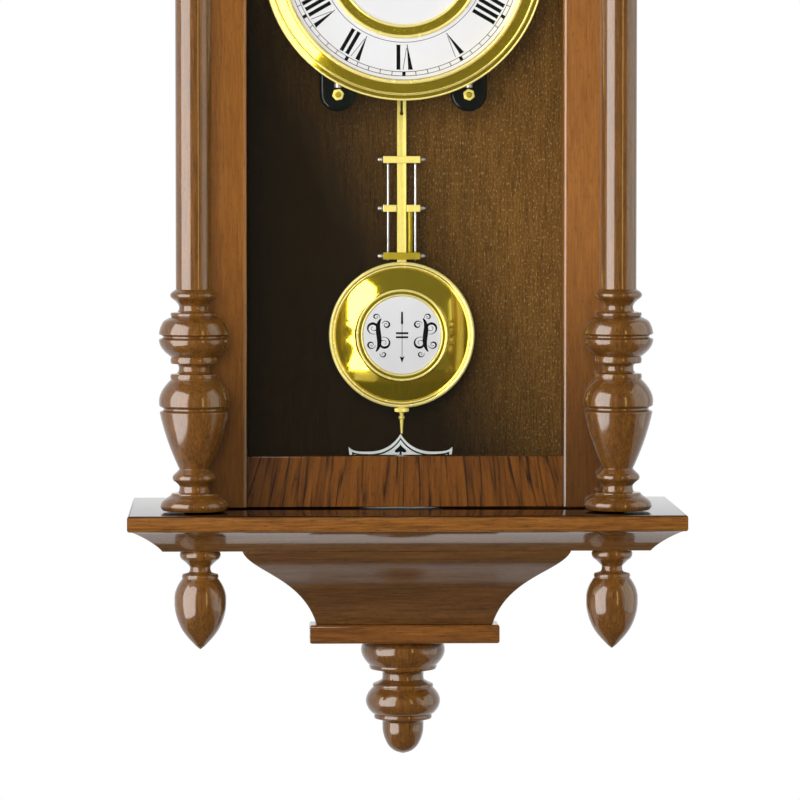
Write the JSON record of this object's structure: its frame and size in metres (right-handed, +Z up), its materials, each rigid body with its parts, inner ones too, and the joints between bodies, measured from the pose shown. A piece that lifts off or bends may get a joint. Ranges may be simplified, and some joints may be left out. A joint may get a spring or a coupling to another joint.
{
  "type": "mechanical wall clock",
  "caption": "Spring-driven wall clock in a turned wooden case: hinged glazed door, dial with hands, meshing going train with anchor escapement, and a swinging grid pendulum with adjustable bob.",
  "frame": {"origin": "on the wall plane at the back of the case, on the axis of the hands", "axes": "+X to the right of someone facing the dial, +Y into the wall, +Z up; the dial faces -Y"},
  "size_m": [0.36, 0.165, 0.8288],
  "materials": {
    "walnut": "glossy lacquer over brown walnut",
    "dark_walnut": "satin dark stained veneer",
    "brass": "polished brass",
    "steel": "polished steel",
    "cast_iron": "black painted casting",
    "dial_enamel": "white enamel",
    "blued_steel": "blackened steel",
    "clear_glass": "clear window glass"
  },
  "bodies": {
    "case": {"back_board": "dark_walnut", "side_left": "walnut", "side_right": "walnut", "shelf": "walnut", "base_cove": "walnut", "cornice": "walnut", "hanger_plate": "steel", "beat_scale": "steel", "corbel": "walnut", "plinth": "walnut", "bottom_finial": "walnut", "drop_left": "walnut", "drop_right": "walnut", "crest": "walnut", "crest_finial": "walnut", "hinge_lower_case_leaf": "brass", "hinge_upper_case_leaf": "brass", "movement_bracket": "cast_iron", "post_left": "steel", "post_right": "steel", "plate_back": "brass", "plate_front": "brass", "dial": "dial_enamel", "bezel": "brass", "dial_ring": "brass", "suspension_cock": "brass"},
    "door": {"stile_left": "walnut", "stile_right": "walnut", "rail_bottom": "walnut", "rail_top": "walnut", "door_glass": "clear_glass", "column_left": "walnut", "column_right": "walnut", "hinge_lower_door_leaf": "brass", "hinge_upper_door_leaf": "brass"},
    "minute_arbor": {"centre_wheel": "brass", "cannon_pinion": "brass", "minute_hand": "blued_steel"},
    "hour_pipe": {"hour_wheel": "brass", "hour_hand": "blued_steel"},
    "minute_wheel": {"minute_wheel": "brass"},
    "second_wheel": {"second_wheel": "brass"},
    "barrel": {"barrel": "brass"},
    "third_wheel": {"third_wheel": "brass"},
    "escape_wheel": {"escape_wheel": "brass"},
    "winding_arbor": {"winding_arbor": "steel"},
    "click": {"click": "steel"},
    "anchor": {"anchor": "steel"},
    "pendulum": {"suspension_spring": "steel", "pendulum_leader": "brass", "pendulum_rod": "brass", "crossbar_1": "brass", "crossbar_2": "brass", "crossbar_3": "brass", "side_rod_left": "steel", "side_rod_right": "steel", "inner_rod": "brass"},
    "bob": {"bob": "brass", "bob_enamel": "dial_enamel"},
    "rating_nut": {"rating_nut": "brass"}
  },
  "joints": [
    {"name": "door_hinge", "type": "hinge", "parent": "case", "child": "door", "pos_m": [0.1475, -0.0872, 0], "axis": [0, 0, 1], "range_deg": [0, 105]},
    {"name": "minute_turn", "type": "hinge", "parent": "case", "child": "minute_arbor", "pos_m": [0, 0, 0], "axis": [0, 1, 0], "continuous": true},
    {"name": "hour_turn", "type": "hinge", "parent": "case", "child": "hour_pipe", "pos_m": [0, 0, 0], "axis": [0, 1, 0], "continuous": true},
    {"name": "minute_wheel_turn", "type": "hinge", "parent": "case", "child": "minute_wheel", "pos_m": [0.01247, 0, -0.0072], "axis": [0, 1, 0], "continuous": true},
    {"name": "second_wheel_turn", "type": "hinge", "parent": "case", "child": "second_wheel", "pos_m": [0, 0, -0.02205], "axis": [0, 1, 0], "continuous": true},
    {"name": "barrel_turn", "type": "hinge", "parent": "case", "child": "barrel", "pos_m": [-0.0277, 0, -0.01], "axis": [0, 1, 0], "continuous": true},
    {"name": "third_wheel_turn", "type": "hinge", "parent": "case", "child": "third_wheel", "pos_m": [0.01339, 0, 0.01695], "axis": [0, 1, 0], "continuous": true},
    {"name": "escape_turn", "type": "hinge", "parent": "case", "child": "escape_wheel", "pos_m": [0, 0, 0.0292], "axis": [0, 1, 0], "continuous": true},
    {"name": "winding_turn", "type": "hinge", "parent": "case", "child": "winding_arbor", "pos_m": [-0.0277, 0, -0.01], "axis": [0, 1, 0], "continuous": true},
    {"name": "click_lift", "type": "hinge", "parent": "case", "child": "click", "pos_m": [-0.0151, 0, -0.02], "axis": [0, 1, 0], "range_deg": [0, 12], "stiffness_Nm_per_rad": 0.002},
    {"name": "pendulum_swing", "type": "hinge", "parent": "case", "child": "pendulum", "pos_m": [0, -0.03195, 0.049], "axis": [0, 1, 0], "range_deg": [-4, 4]},
    {"name": "anchor_rock", "type": "hinge", "parent": "case", "child": "anchor", "pos_m": [0, 0, 0.049], "axis": [0, 1, 0], "range_deg": [-4.2, 4.2]},
    {"name": "bob_height", "type": "slide", "parent": "pendulum", "child": "bob", "axis": [0, 0, 1], "range_m": [-0.0015, 0.0015]},
    {"name": "rating_turn", "type": "hinge", "parent": "bob", "child": "rating_nut", "pos_m": [0, -0.0336, -0.298], "axis": [0, 0, 1], "range_deg": [-1250, 1250]}
  ],
  "couplings": [
    {"joint": "third_wheel_turn", "follows": "escape_turn", "ratio": -0.1},
    {"joint": "minute_turn", "follows": "escape_turn", "ratio": 0.0090909},
    {"joint": "minute_wheel_turn", "follows": "escape_turn", "ratio": -0.0030303},
    {"joint": "hour_turn", "follows": "escape_turn", "ratio": 0.00075758},
    {"joint": "second_wheel_turn", "follows": "escape_turn", "ratio": -0.0015152},
    {"joint": "barrel_turn", "follows": "escape_turn", "ratio": 0.00028409},
    {"joint": "anchor_rock", "follows": "pendulum_swing", "ratio": 1},
    {"joint": "rating_turn", "follows": "bob_height", "rad_per_m": 12566}
  ]
}
